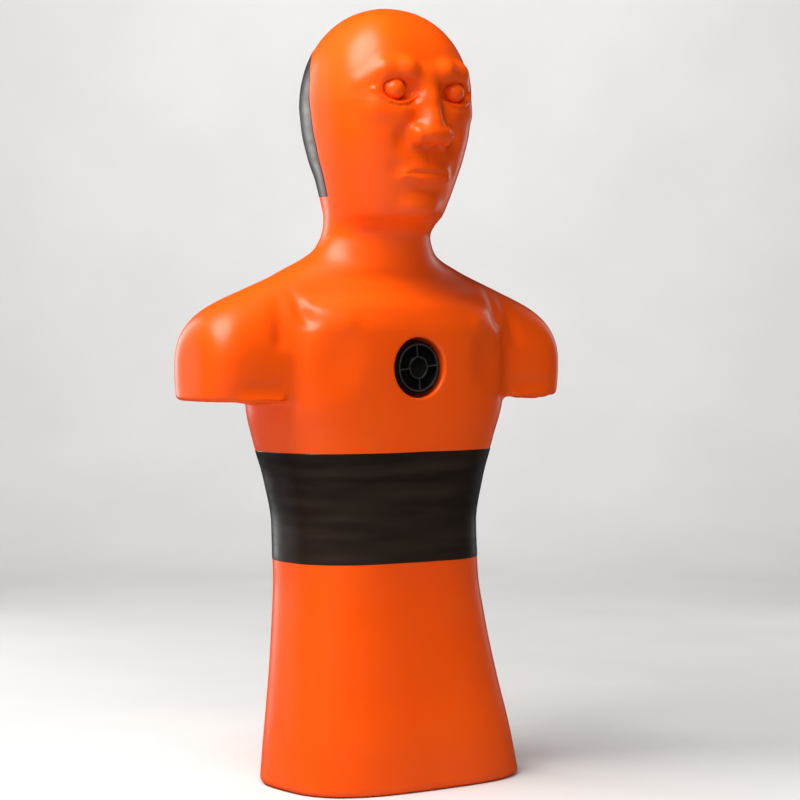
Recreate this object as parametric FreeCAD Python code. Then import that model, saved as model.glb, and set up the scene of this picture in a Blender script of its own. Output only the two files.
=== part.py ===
"""Water-rescue training manikin: one hollow moulding with a screw plug in the chest, in millimetres.

+Z is up, the manikin faces -Y, and its own right side is at -X. The origin is on the floor, under the
middle of the whole object's box.
"""
import FreeCAD, Part
import math
import os

# Driving dimensions
HEIGHT = 1000.0            # floor to crown
WALL = 5.0                 # thickness of the moulded wall
COATING = 0.5              # thickness of the black coating on the wall
OUTLINE_POINTS = 28        # points round each closed section

# Arm stubs: one rounded lobe on each side, cut flat underneath
ARM_REACH = 277.0          # from the centre plane to the arm's end
ARM_ROUND_FROM = 200.0     # the end starts to round off here
ARM_STATIONS = (30.0, 75.0, 118.0, 160.0, ARM_ROUND_FROM, 228.0, 248.0, 262.0, 271.0, 275.5)
ARM_MIDDLE_Y = 31.0
ARM_HALF_DEPTH = 70.0
ARM_WIDEST_Z = 540.0
ARM_UNDERSIDE_Z = 495.0
ARM_BELOW = 120.0          # how far the lobe would go down if it weren't cut flat
ARM_SECTION_POWER = 2.2
ARM_END_POWER = 4.0
RIDGE_X = 98.0             # where the shoulder's ridge leaves the neck
RIDGE_Z = 675.0
RIDGE_SLOPE = 0.40

# Head: the crown is a dome above the widest section
DOME_FROM_Z = 872.0
DOME_POWER = 2.12
DOME_STEPS = (0.3, 0.52, 0.7, 0.83, 0.92, 0.97, 0.99)
CROWN_TIP = 0.05           # size of the dome's flat tip, as a share of its widest section

# Face
EYE_X = 47.0
EYE_Y = -84.0
EYE_Z = 885.0
EYE_RADIUS = 14.0

# Filling port in the chest. Depths are measured inwards, along +Y, from the chest's surface
PORT_Z = 536.0
CHEST_Y = -77.0
RECESS_RADIUS = 39.0
RIM_CHAMFER = 2.0
PLUG_RADIUS = 35.0
PLUG_FACE_DEPTH = 4.0
PLUG_HEAD = 12.0
PLUG_FLOOR = 4.0           # what is left of the head under the pockets
PLUG_RIM = 4.5             # width of the plug's outer ring
PLUG_HUB_RADIUS = 14.5
PLUG_HUB_WALL = 1.6
PLUG_HUB_DISH = 2.0
PLUG_RIB = 1.6
PLUG_RIBS = 4
PLUG_RIB_TILT = 5.5        # degrees, how far the ribs stand turned when the plug is tight
STEM_RADIUS = 24.92
STEM_WALL = 5.0
STEM_LENGTH = 22.0
BORE_RADIUS = 25.0         # running fit on the stem
SEAT_GAP = 0.6             # between the head's underside and the bush
BUSH_RADIUS = 36.0
BUSH_LENGTH = 23.0
BUSH_KEY_RADIUS = 41.0     # collar that locks the bush in the moulding
BUSH_KEY_DEPTH = 8.0       # below the bush's seat
BUSH_KEY_WIDTH = 5.0
BOSS_RADIUS = 46.0
BOSS_END = 3.0             # moulded lip past the bush's inner end
RING_RADIUS = 30.5         # middle of the O-ring's section
RING_SECTION = 1.5
RING_CLEARANCE = 0.1
GROOVE_HALF_WIDTH = 2.0

# Black coating: height of the waist band, and the side view of the patch on the back of the head
BAND_BOTTOM_Z = 286.0
BAND_TOP_Z = 428.0
PATCH_BOTTOM_Z = 756.0
PATCH_TOP_Z = 957.0
PATCH_FRONT = [(17.0, PATCH_BOTTOM_Z), (17.0, 789.0), (20.0, 821.0), (27.0, 872.0), (31.0, 912.0),
               (38.0, 941.0), (60.0, PATCH_TOP_Z)]

# Horizontal sections: z, half width, front y, back y, y of the widest point, squareness of front and back
TRUNK = [
    (0.0, 172.0, -122.0, 112.0, 0.0, 3.2, 2.6),
    (60.0, 164.0, -114.0, 112.0, 6.0, 3.1, 2.6),
    (130.0, 152.0, -98.0, 114.0, 12.0, 3.0, 2.7),
    (200.0, 142.0, -84.0, 117.0, 18.0, 2.9, 2.8),
    (270.0, 135.0, -75.0, 121.0, 23.0, 2.8, 2.9),
    (330.0, 135.0, -73.0, 124.0, 26.0, 2.7, 2.9),
    (390.0, 146.0, -74.0, 129.0, 27.0, 2.8, 2.9),
    (440.0, 163.0, -75.0, 131.0, 28.0, 2.9, 2.9),
    (495.0, 179.0, -76.0, 131.0, 28.0, 3.0, 2.6),
    (540.0, 180.0, -77.0, 128.0, 28.0, 3.0, 2.4),
    (580.0, 176.0, -76.0, 120.0, 30.0, 2.9, 2.2),
    (610.0, 165.0, -68.0, 112.0, 34.0, 2.6, 2.0),
    (635.0, 146.0, -48.0, 102.0, 38.0, 2.0, 1.9),
    (655.0, 120.0, -34.0, 97.0, 39.0, 1.7, 1.8),
    (672.0, 90.0, -26.0, 88.0, 36.0, 1.7, 1.8),
    (690.0, 60.0, -16.0, 76.0, 32.0, 1.9, 2.0),
]
HEAD = [
    (640.0, 78.0, -34.0, 90.0, 28.0, 2.0, 2.0),
    (657.0, 76.0, -37.0, 88.0, 27.0, 2.0, 2.0),
    (674.0, 74.0, -39.5, 86.5, 26.5, 2.0, 2.0),
    (690.0, 72.0, -42.0, 85.0, 26.0, 2.0, 2.0),
    (706.0, 70.0, -46.0, 84.0, 24.0, 2.0, 2.0),
    (720.0, 71.0, -60.0, 84.0, 21.0, 2.1, 2.0),
    (732.0, 74.0, -75.0, 84.0, 17.0, 2.2, 2.0),
    (748.0, 78.0, -82.0, 86.0, 14.0, 2.3, 2.1),
    (775.0, 85.0, -88.0, 93.0, 10.0, 2.5, 2.1),
    (805.0, 93.0, -93.0, 105.0, 7.0, 2.7, 2.2),
    (840.0, 99.0, -97.0, 118.0, 5.0, 2.9, 2.2),
    (872.0, 102.0, -99.0, 123.0, 4.0, 2.9, 2.2),
]
# Nose: z, half width, y of the front
NOSE = [(800.0, 12.0, -96.0), (810.0, 25.0, -109.0), (824.0, 23.0, -115.0), (848.0, 14.0, -108.0),
        (878.0, 9.0, -100.0)]
NOSE_ROOT_Y = -80.0


def vector(x, y, z):
    return FreeCAD.Vector(x, y, z)


def signed_power(value, power):
    return math.copysign(abs(value) ** power, value)


def closed_curve(points):
    """A smooth closed wire through the points."""
    curve = Part.BSplineCurve()
    curve.interpolate(Points=points, PeriodicFlag=True)
    return Part.Wire([curve.toShape()])


def turns():
    return [2 * math.pi * step / OUTLINE_POINTS for step in range(OUTLINE_POINTS)]


def body_section(station, grow=0.0, rise=0.0):
    """A closed horizontal outline: half a superellipse for the front, and half for the back."""
    z, half_width, front, back, middle, front_power, back_power = station
    points = []
    for angle in turns():
        depth = back - middle if math.sin(angle) >= 0 else middle - front
        power = back_power if math.sin(angle) >= 0 else front_power
        x = (half_width + grow) * signed_power(math.cos(angle), 2 / power)
        y = middle + (depth + grow) * signed_power(math.sin(angle), 2 / power)
        points.append(vector(x, y, z + rise))
    return closed_curve(points)


def dome_stations():
    """Sections that shrink to the crown."""
    _, half_width, front, back, middle, front_power, back_power = HEAD[-1]
    stations = []
    for step in DOME_STEPS:
        scale = (1 - step ** DOME_POWER) ** (1 / DOME_POWER)
        stations.append((DOME_FROM_Z + step * (HEIGHT - DOME_FROM_Z), half_width * scale,
                         middle + (front - middle) * scale, middle + (back - middle) * scale,
                         middle, front_power, back_power))
    return stations


def crown():
    """The flat tip of the dome, small enough to pass for its top."""
    _, half_width, front, back, middle, front_power, back_power = HEAD[-1]
    return (HEIGHT, half_width * CROWN_TIP, middle + (front - middle) * CROWN_TIP,
            middle + (back - middle) * CROWN_TIP, middle, front_power, back_power)


def loft(sections):
    return Part.makeLoft(sections, True, False)


def slab(low, high):
    """Everything between two heights, wider than the whole body."""
    return Part.makeBox(2 * HEIGHT, 2 * HEIGHT, high - low, vector(-HEIGHT, -HEIGHT, low))


def fused(shapes):
    """The union of the shapes, taken one at a time, which is steadier on lofted faces."""
    result = shapes[0]
    for shape in shapes[1:]:
        result = result.fuse(shape)
    return result


def without(shape, tools):
    """The shape less each tool in turn."""
    for tool in tools:
        shape = shape.cut(tool)
    return shape


def trunk(grow=0.0):
    """The trunk, or the one that lies grow outside it.

    The floor section moves down by grow, and the sections that slope inwards at the top move up by grow,
    so that the wall keeps its thickness there too.
    """
    sections = []
    for station in TRUNK:
        rise = 0.0
        if station is TRUNK[0]:
            rise = -grow
        elif station[0] > ARM_WIDEST_Z:
            rise = grow
        sections.append(body_section(station, grow, rise))
    return loft(sections)


def head(grow=0.0):
    """The neck and head. Up the dome, growing sideways gives way to growing upwards."""
    sections = [body_section(station, grow) for station in HEAD]
    for station in dome_stations():
        share = (station[0] - DOME_FROM_Z) / (HEIGHT - DOME_FROM_Z)
        sections.append(body_section(station, grow * (1 - share), grow * share))
    sections.append(body_section(crown(), 0.0, grow))
    return loft(sections)


def arm_section(x, grow):
    """A closed outline across the arm, at distance x from the centre plane."""
    past = max(0.0, (x - ARM_ROUND_FROM) / (ARM_REACH - ARM_ROUND_FROM))
    scale = max(0.0, 1 - past ** ARM_END_POWER) ** (1 / ARM_END_POWER)
    top = RIDGE_Z - RIDGE_SLOPE * (x - RIDGE_X) - ARM_WIDEST_Z
    points = []
    for angle in turns():
        height = top if math.sin(angle) >= 0 else ARM_BELOW
        across = signed_power(math.cos(angle), 2 / ARM_SECTION_POWER)
        along = signed_power(math.sin(angle), 2 / ARM_SECTION_POWER)
        points.append(vector(x, ARM_MIDDLE_Y + (ARM_HALF_DEPTH * scale + grow) * across,
                             ARM_WIDEST_Z + (height * scale + grow) * along))
    return closed_curve(points)


def arms(grow=0.0):
    """Both arm stubs, cut flat underneath. Towards the end, growing sideways gives way to reaching out."""
    sections = []
    for x in ARM_STATIONS:
        share = max(0.0, (x - ARM_ROUND_FROM) / (ARM_REACH - ARM_ROUND_FROM))
        section = arm_section(x, grow * (1 - share))
        section.translate(vector(grow * share, 0, 0))
        sections.append(section)
    lobe = loft(sections)
    left = lobe.cut(slab(0.0, ARM_UNDERSIDE_Z - grow))
    right = left.mirror(vector(0, 0, 0), vector(1, 0, 0))
    return left, right


def nose():
    sections = []
    for z, half_width, front in NOSE:
        depth = NOSE_ROOT_Y - front
        points = [vector(half_width * math.cos(angle), NOSE_ROOT_Y + depth * math.sin(angle), z)
                  for angle in turns()]
        sections.append(closed_curve(points))
    return loft(sections)


def solid_body(grow=0.0):
    """The body's filled shape, without its face."""
    left, right = arms(grow)
    return fused([trunk(grow), head(grow), left, right])


def outer_body():
    eyes = [Part.makeSphere(EYE_RADIUS, vector(side * EYE_X, EYE_Y, EYE_Z)) for side in (-1, 1)]
    return fused([solid_body(), nose()] + eyes)


def port_disc(radius, depth, length):
    """A cylinder on the port's axis, from the given depth inwards."""
    return Part.makeCylinder(radius, length, vector(0, CHEST_Y + depth, PORT_Z), vector(0, 1, 0))


def port_ring(outer, inner, depth, length):
    return port_disc(outer, depth, length).cut(port_disc(inner, depth, length))


def seat_depth():
    return PLUG_FACE_DEPTH + PLUG_HEAD + SEAT_GAP


def body_shell(outer):
    """The moulding: hollow, with a boss inside the chest that holds the bush."""
    shell = outer.cut(solid_body(-WALL))
    boss_length = seat_depth() + BUSH_LENGTH + BOSS_END
    boss = port_disc(BOSS_RADIUS, -WALL, boss_length + WALL).common(outer)
    rim = Part.makeCone(RECESS_RADIUS + 2 * RIM_CHAMFER, RECESS_RADIUS, 2 * RIM_CHAMFER,
                        vector(0, CHEST_Y - RIM_CHAMFER, PORT_Z), vector(0, 1, 0))
    recess = port_disc(RECESS_RADIUS, -WALL, seat_depth() + WALL)
    bush_room = port_disc(BUSH_RADIUS, seat_depth(), BUSH_LENGTH)
    key_room = port_disc(BUSH_KEY_RADIUS, seat_depth() + BUSH_KEY_DEPTH, BUSH_KEY_WIDTH)
    way_in = port_disc(BORE_RADIUS, seat_depth(), boss_length)
    return without(shell.fuse(boss), [rim, recess, bush_room, key_room, way_in])


def chest_port_bush():
    bush = port_disc(BUSH_RADIUS, seat_depth(), BUSH_LENGTH)
    key = port_disc(BUSH_KEY_RADIUS, seat_depth() + BUSH_KEY_DEPTH, BUSH_KEY_WIDTH)
    return bush.fuse(key).cut(port_disc(BORE_RADIUS, seat_depth(), BUSH_LENGTH))


def plug_ribs():
    """Thin ribs from the hub to the rim, flush with the plug's face."""
    start = PLUG_HUB_RADIUS - PLUG_HUB_WALL / 2
    length = PLUG_RADIUS - PLUG_RIM / 2 - start
    ribs = []
    for number in range(PLUG_RIBS):
        rib = Part.makeBox(length, PLUG_HEAD - PLUG_FLOOR, PLUG_RIB,
                           vector(start, CHEST_Y + PLUG_FACE_DEPTH, PORT_Z - PLUG_RIB / 2))
        rib.rotate(vector(0, 0, PORT_Z), vector(0, -1, 0), PLUG_RIB_TILT + number * 360.0 / PLUG_RIBS)
        ribs.append(rib)
    return ribs


def chest_plug():
    """The plug: a ribbed head over a hollow stem, with a groove for the O-ring under the head."""
    pocket = PLUG_HEAD - PLUG_FLOOR
    head_disc = port_disc(PLUG_RADIUS, PLUG_FACE_DEPTH, PLUG_HEAD)
    head_disc = head_disc.cut(port_disc(PLUG_RADIUS - PLUG_RIM, PLUG_FACE_DEPTH, pocket))
    hub = port_disc(PLUG_HUB_RADIUS, PLUG_FACE_DEPTH, pocket)
    hub = hub.cut(port_disc(PLUG_HUB_RADIUS - PLUG_HUB_WALL, PLUG_FACE_DEPTH, PLUG_HUB_DISH))
    stem_start = PLUG_FACE_DEPTH + PLUG_HEAD
    stem = port_ring(STEM_RADIUS, STEM_RADIUS - STEM_WALL, stem_start, STEM_LENGTH)
    groove_depth = 2 * (RING_SECTION + RING_CLEARANCE) - SEAT_GAP
    groove = port_ring(RING_RADIUS + GROOVE_HALF_WIDTH, RING_RADIUS - GROOVE_HALF_WIDTH,
                       stem_start - groove_depth, groove_depth)
    return fused([head_disc, hub, stem] + plug_ribs()).cut(groove)


def chest_plug_o_ring():
    depth = seat_depth() - RING_SECTION - RING_CLEARANCE
    return Part.makeTorus(RING_RADIUS, RING_SECTION, vector(0, CHEST_Y + depth, PORT_Z), vector(0, 1, 0))


def waist_band_coating(outer):
    """A film on the shell, between two heights."""
    return trunk(COATING).common(slab(BAND_BOTTOM_Z, BAND_TOP_Z)).cut(outer)


def patch_side_view():
    """A prism right across the head, whose side view is the patch's outline."""
    front = Part.BSplineCurve()
    front.interpolate(Points=[vector(-ARM_REACH, y, z) for y, z in PATCH_FRONT])
    first = vector(-ARM_REACH, *PATCH_FRONT[0])
    last = vector(-ARM_REACH, *PATCH_FRONT[-1])
    top_back = vector(-ARM_REACH, ARM_REACH, PATCH_TOP_Z)
    bottom_back = vector(-ARM_REACH, ARM_REACH, PATCH_BOTTOM_Z)
    edges = [front.toShape(), Part.makeLine(last, top_back), Part.makeLine(top_back, bottom_back),
             Part.makeLine(bottom_back, first)]
    return Part.Face(Part.Wire(edges)).extrude(vector(2 * ARM_REACH, 0, 0))


def head_back_coating(outer):
    return head(COATING).common(patch_side_view()).cut(outer)


def save(name, shape):
    """Write the shape's solids to the node's STEP file."""
    solids = shape.Solids
    result = solids[0] if len(solids) == 1 else Part.makeCompound(solids)
    result.exportStep("parts/" + name + ".step")
    box = result.optimalBoundingBox()
    print(name, len(solids), "solid(s), valid", result.isValid())
    print("    volume cm3", round(result.Volume / 1000, 1), "z", round(box.ZMin, 1), round(box.ZMax, 1))
    print("    x", round(box.XMin, 1), round(box.XMax, 1), "y", round(box.YMin, 1), round(box.YMax, 1))


os.makedirs("parts", exist_ok=True)
outer = outer_body()
save("body_shell", body_shell(outer))
save("chest_port_bush", chest_port_bush())
save("chest_plug", chest_plug())
save("chest_plug_o_ring", chest_plug_o_ring())
save("waist_band_coating", waist_band_coating(outer))
save("head_back_coating", head_back_coating(outer))
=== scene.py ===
"""Water-rescue training manikin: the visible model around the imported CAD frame.

The body is one hollow moulding, described by a distance-like field in millimetres: negative inside, zero on
the surface. The field is meshed, the mesh is pulled exactly onto the surface, and its normals come from the
field. Blender objects are in metres. +Z is up and the manikin faces -Y.
"""
import math

import bmesh
import bpy
import numpy as np
from mathutils import Matrix, Vector


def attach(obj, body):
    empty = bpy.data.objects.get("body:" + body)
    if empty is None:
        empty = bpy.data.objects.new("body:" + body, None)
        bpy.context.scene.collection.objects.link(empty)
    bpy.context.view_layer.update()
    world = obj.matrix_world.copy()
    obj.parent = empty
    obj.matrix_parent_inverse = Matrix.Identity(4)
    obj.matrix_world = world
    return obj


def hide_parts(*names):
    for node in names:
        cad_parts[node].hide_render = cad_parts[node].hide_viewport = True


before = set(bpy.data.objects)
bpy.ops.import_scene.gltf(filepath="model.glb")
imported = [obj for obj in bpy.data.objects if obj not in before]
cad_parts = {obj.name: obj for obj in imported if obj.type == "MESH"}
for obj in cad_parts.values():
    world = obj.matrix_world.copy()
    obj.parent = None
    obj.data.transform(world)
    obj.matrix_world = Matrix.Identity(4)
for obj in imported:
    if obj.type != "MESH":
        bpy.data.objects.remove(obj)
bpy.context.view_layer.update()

MM = 0.001

# ---------------------------------------------------------------- driving dimensions, in millimetres
HEIGHT = 1000.0
WALL = 5.0
COATING = 0.45

ARM_REACH = 277.0
ARM_ROUND_FROM = 200.0
ARM_MIDDLE_Y = 31.0
ARM_HALF_DEPTH = 70.0
ARM_WIDEST_Z = 540.0
ARM_UNDERSIDE_Z = 495.0
ARM_BELOW = 120.0
ARM_SECTION_POWER = 2.2
ARM_END_POWER = 4.0
RIDGE_X = 98.0
RIDGE_Z = 675.0
RIDGE_SLOPE = 0.40

DOME_FROM_Z = 872.0
DOME_POWER = 2.12

PORT_Z = 536.0
CHEST_Y = -77.0
BOSS_RADIUS = 46.0
BOSS_DEPTH = 42.6
RIM_SAMPLES = 145          # points round the rim at which the chest's own depth is taken
CUT_PAST = 12.0            # how far the port's cutting tool runs past both ends of the port
RECESS_RADIUS = 39.0
RIM_ROUND = 4.0
SEAT_DEPTH = 16.6
BUSH_RADIUS = 36.0
BUSH_LENGTH = 23.0
BORE_RADIUS = 25.0
PLUG_RADIUS = 35.0
PLUG_FACE_DEPTH = 4.0
PLUG_HEAD = 12.0
PLUG_RIM = 4.5
PLUG_HUB_RADIUS = 14.5
PLUG_FLOOR = 4.0           # what is left of the head under the pockets
PLUG_RIB = 1.6
PLUG_RIB_TILT = 5.5        # degrees
RING_RADIUS = 30.5
STEM_RADIUS = 24.92
STEM_LENGTH = 22.0
STEM_WALL = 5.0
SEAL_GROOVE_DEPTH = 2.6
SEAL_GROOVE_HALF_WIDTH = 2.0
THREAD_PITCH = 5.0
THREAD_HEIGHT = 1.3
COATING_ROOT = 0.4         # how far the coating's film reaches into the wall

TRUNK_TOP_Z = 686.0        # where the trunk's field ends, inside the neck
HEAD_BOTTOM_Z = 650.0      # where the head's field starts, inside the trunk
EYE_X = 46.0
EYE_Z = 888.0
NOSE_Z = 832.0
MOUTH_Z = 782.0
PIT_X = 240.0
PIT_Z = 606.0

BAND_BOTTOM_Z = 286.0
BAND_TOP_Z = 428.0
PATCH_BOTTOM_Z = 756.0
PATCH_TOP_Z = 957.0

# The view, from the manikin's front right and level with its shoulders
AZIMUTH = math.radians(-35.0)
DISTANCE = 3.26            # metres
EYE_LEVEL = 0.603          # metres
LENS = 112.5               # on a sensor 36 mm wide
SENSOR = 36.0
AIM = (0.015, -0.010, 0.4925)   # metres: the point in the middle of the picture

# Horizontal sections: z, half width, front y, back y, y of the widest point, squareness of front and back
TRUNK = np.array([
    (0.0, 172.0, -122.0, 112.0, 0.0, 3.2, 2.6),
    (60.0, 164.0, -114.0, 112.0, 6.0, 3.1, 2.6),
    (130.0, 152.0, -98.0, 114.0, 12.0, 3.0, 2.7),
    (200.0, 142.0, -84.0, 117.0, 18.0, 2.9, 2.8),
    (270.0, 135.0, -75.0, 121.0, 23.0, 2.8, 2.9),
    (330.0, 135.0, -73.0, 124.0, 26.0, 2.7, 2.9),
    (390.0, 146.0, -74.0, 129.0, 27.0, 2.8, 2.9),
    (440.0, 163.0, -75.0, 131.0, 28.0, 2.9, 2.9),
    (495.0, 179.0, -76.0, 131.0, 28.0, 3.0, 2.6),
    (540.0, 180.0, -77.0, 128.0, 28.0, 3.0, 2.4),
    (580.0, 176.0, -76.0, 120.0, 30.0, 2.9, 2.2),
    (610.0, 165.0, -68.0, 112.0, 34.0, 2.6, 2.0),
    (635.0, 146.0, -48.0, 102.0, 38.0, 2.0, 1.9),
    (655.0, 120.0, -34.0, 97.0, 39.0, 1.7, 1.8),
    (672.0, 90.0, -26.0, 88.0, 36.0, 1.7, 1.8),
    (690.0, 60.0, -16.0, 76.0, 32.0, 1.9, 2.0),
])
HEAD = np.array([
    (640.0, 78.0, -34.0, 90.0, 28.0, 2.0, 2.0),
    (657.0, 76.0, -37.0, 88.0, 27.0, 2.0, 2.0),
    (674.0, 74.0, -39.5, 86.5, 26.5, 2.0, 2.0),
    (690.0, 72.0, -42.0, 85.0, 26.0, 2.0, 2.0),
    (706.0, 70.0, -46.0, 84.0, 24.0, 2.0, 2.0),
    (720.0, 71.0, -60.0, 84.0, 21.0, 2.1, 2.0),
    (732.0, 74.0, -75.0, 84.0, 17.0, 2.2, 2.0),
    (748.0, 78.0, -82.0, 86.0, 14.0, 2.3, 2.1),
    (775.0, 85.0, -88.0, 93.0, 10.0, 2.5, 2.1),
    (805.0, 93.0, -93.0, 105.0, 7.0, 2.7, 2.2),
    (840.0, 99.0, -97.0, 118.0, 5.0, 2.9, 2.2),
    (872.0, 102.0, -99.0, 123.0, 4.0, 2.9, 2.2),
])


# ---------------------------------------------------------------- field building blocks
def union(a, b, blend):
    """Smooth union: the surfaces melt together over the blend's width."""
    share = np.clip(0.5 + 0.5 * (b - a) / blend, 0.0, 1.0)
    return b + (a - b) * share - blend * share * (1.0 - share)


def overlap(a, b, blend):
    """Smooth intersection."""
    return -union(-a, -b, blend)


def carve(a, b, blend):
    """Take b away from a, with a soft edge."""
    return overlap(a, -b, blend)


def ellipsoid(x, y, z, centre, radii):
    px, py, pz = x - centre[0], y - centre[1], z - centre[2]
    rx, ry, rz = radii
    near = np.sqrt((px / rx) ** 2 + (py / ry) ** 2 + (pz / rz) ** 2) + 1e-9
    slope = np.sqrt((px / rx ** 2) ** 2 + (py / ry ** 2) ** 2 + (pz / rz ** 2) ** 2) + 1e-9
    return near * (near - 1.0) / slope


def capsule(x, y, z, start, end, radius, end_radius=None):
    """A rounded rod, tapered when the two radii differ."""
    end_radius = radius if end_radius is None else end_radius
    ax, ay, az = (e - s for s, e in zip(start, end))
    px, py, pz = x - start[0], y - start[1], z - start[2]
    along = np.clip((px * ax + py * ay + pz * az) / (ax * ax + ay * ay + az * az), 0.0, 1.0)
    gap = np.sqrt((px - along * ax) ** 2 + (py - along * ay) ** 2 + (pz - along * az) ** 2)
    return gap - (radius + (end_radius - radius) * along)


def rod_chain(x, y, z, points, radii, blend):
    """Capsules end to end through the points."""
    result = None
    for (start, end), (first, last) in zip(zip(points, points[1:]), zip(radii, radii[1:])):
        rod = capsule(x, y, z, start, end, first, last)
        result = rod if result is None else union(result, rod, blend)
    return result


def swell(field, gap, height, width):
    """Raise the surface near a line or point by a smooth swelling, or sink it if the height is negative."""
    return field - height * np.exp(-(gap / width) ** 2)


def line_gap(x, y, z, points):
    """Distance from a line through the points."""
    return rod_chain(x, y, z, points, [0.0] * len(points), 1.0)


def curve_gap(ax, z, points):
    """Distance from a curve drawn on the front, seen from straight ahead: points are (distance out, z)."""
    return line_gap(ax, np.zeros_like(z), z, [(px, 0.0, pz) for px, pz in points])


def change_near(body, near, ax, y, z, change):
    """Apply a change only where it matters, which saves most of the work."""
    result = body.copy()
    result[near] = change(body[near], ax[near], y[near], z[near])
    return result


def monotone_slopes(levels, values):
    """Tangents that keep an interpolated column free of overshoot."""
    step = np.diff(levels)
    rise = np.diff(values) / step
    slopes = np.empty_like(values)
    slopes[0], slopes[-1] = rise[0], rise[-1]
    before, after = rise[:-1], rise[1:]
    same_way = before * after > 0
    w1 = 2 * step[1:] + step[:-1]
    w2 = step[1:] + 2 * step[:-1]
    safe_before = np.where(same_way, before, 1.0)
    safe_after = np.where(same_way, after, 1.0)
    slopes[1:-1] = np.where(same_way, (w1 + w2) / (w1 / safe_before + w2 / safe_after), 0.0)
    return slopes


def section(table, z):
    """Half width, front, back, middle and the two squarenesses at each height, smoothly interpolated."""
    levels = table[:, 0]
    z = np.clip(z, levels[0], levels[-1])
    i = np.clip(np.searchsorted(levels, z, side="right") - 1, 0, len(levels) - 2)
    step = levels[i + 1] - levels[i]
    t = (z - levels[i]) / step
    slopes = np.stack([monotone_slopes(levels, table[:, c]) for c in range(1, 7)], axis=1)
    h00, h10 = 2 * t ** 3 - 3 * t ** 2 + 1, t ** 3 - 2 * t ** 2 + t
    h01, h11 = -2 * t ** 3 + 3 * t ** 2, t ** 3 - t ** 2
    columns = []
    for c in range(1, 7):
        tangents = slopes[:, c - 1]
        ends = h00 * table[i, c] + h01 * table[i + 1, c]
        columns.append(ends + step * (h10 * tangents[i] + h11 * tangents[i + 1]))
    return columns


def ring_radius(table, x, y, z):
    """How far out a point is on its section, as a share of the outline, and the section's mean radius."""
    half, front, back, middle, front_power, back_power = section(table, z)
    behind = y > middle
    depth = np.where(behind, back - middle, middle - front)
    power = np.where(behind, back_power, front_power)
    share = ((np.abs(x) / half) ** power + (np.abs(y - middle) / depth) ** power + 1e-12) ** (1 / power)
    return share, (half + depth) / 2


# ---------------------------------------------------------------- the body's parts as fields
def trunk(x, y, z):
    share, radius = ring_radius(TRUNK, x, y, z)
    sides = (share - 1.0) * radius
    return overlap(overlap(sides, z - TRUNK_TOP_Z, 12.0), -z, 9.0)


def head(x, y, z):
    share, radius = ring_radius(HEAD, x, y, z)
    up = np.maximum(0.0, z - DOME_FROM_Z) / (HEIGHT - DOME_FROM_Z)
    share = (share ** DOME_POWER + up ** DOME_POWER) ** (1 / DOME_POWER)
    return overlap((share - 1.0) * radius, HEAD_BOTTOM_Z - z, 20.0)


def arm(ax, y, z):
    """One arm stub on both sides at once: ax is the distance from the centre plane."""
    top = RIDGE_Z - RIDGE_SLOPE * (ax - RIDGE_X) - ARM_WIDEST_Z
    rise = z - ARM_WIDEST_Z
    height = np.where(rise > 0, np.maximum(top, 20.0), ARM_BELOW)
    ring = ((np.abs(y - ARM_MIDDLE_Y) / ARM_HALF_DEPTH) ** ARM_SECTION_POWER
            + (np.abs(rise) / height) ** ARM_SECTION_POWER) ** (1 / ARM_SECTION_POWER)
    past = np.maximum(0.0, ax - ARM_ROUND_FROM) / (ARM_REACH - ARM_ROUND_FROM)
    share = (ring ** ARM_END_POWER + past ** ARM_END_POWER + 1e-12) ** (1 / ARM_END_POWER)
    lobe = (share - 1.0) * ARM_HALF_DEPTH
    return overlap(lobe, ARM_UNDERSIDE_Z - z, 7.0)


def shoulders(body, ax, y, z):
    """Arms joined on, with the folds and hollows between them and the chest."""
    soft = 9.0 + 21.0 * np.clip((z - 615.0) / 50.0, 0.0, 1.0)
    body = union(body, arm(ax, y, z), soft)
    near = (z > 470.0) & (z < 690.0) & (ax > 60.0) & (y < 20.0)
    return change_near(body, near, ax, y, z, shoulder_folds)


def shoulder_folds(part, ax, y, z):
    """The hollow of the chest's side, the crease beside the arm, and the softer folds above them."""
    hollow = ellipsoid(ax, y, z, (132.0, -95.0, 548.0), (38.0, 27.0, 46.0))
    part = carve(part, hollow, 26.0)
    crease = rod_chain(ax, y, z, [(170.0, -40.0, 650.0), (184.0, -56.0, 612.0), (189.0, -60.0, 560.0),
                                  (190.0, -62.0, 505.0)], [3.0, 7.0, 7.0, 5.0], 6.0)
    part = carve(part, crease, 12.0)
    on_front = np.clip(-y / 30.0, 0.0, 1.0)
    crease_top = curve_gap(ax, z, [(172.0, 655.0), (179.0, 616.0), (185.0, 572.0)])
    part = swell(part, crease_top, -4.0 * on_front, 12.0)
    fold = curve_gap(ax, z, [(160.0, 652.0), (155.0, 622.0), (147.0, 596.0)])
    part = swell(part, fold, -3.0 * on_front, 9.0)
    pec_top = curve_gap(ax, z, [(140.0, 616.0), (104.0, 599.0)])
    return swell(part, pec_top, 4.0 * on_front, 14.0)


def arm_details(body, ax, y, z):
    """The armpit strips and the shoulder pits, worked out only where they lie."""
    near = (z > 460.0) & (z < 640.0) & (ax > 130.0) & (y < 30.0)
    return change_near(body, near, ax, y, z, strip_and_pit)


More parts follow.
